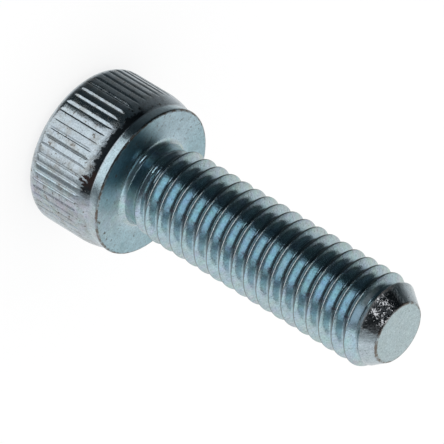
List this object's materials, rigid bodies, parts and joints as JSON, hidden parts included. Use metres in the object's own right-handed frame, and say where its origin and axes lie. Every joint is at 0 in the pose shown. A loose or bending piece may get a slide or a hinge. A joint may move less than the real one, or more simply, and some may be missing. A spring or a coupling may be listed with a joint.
{
  "type": "hex socket cap screw",
  "caption": "Cylindrical-head cap screw with a knurled grip and hex socket, threaded up to a short neck, for clamping parts with a hex key.",
  "frame": {"origin": "centre of the flat top of the head, where the hex socket opens, which is the face it stands on", "axes": "+Z along the screw's axis from the head to the point; +X through a corner of the hex socket"},
  "size_m": [0.0102, 0.0102, 0.0258],
  "materials": {
    "zinc_plate": "bright zinc plate with a thin blue passivation, slightly stained on the head"
  },
  "bodies": {
    "root": {"cap_screw": "zinc_plate"}
  },
  "joints": []
}
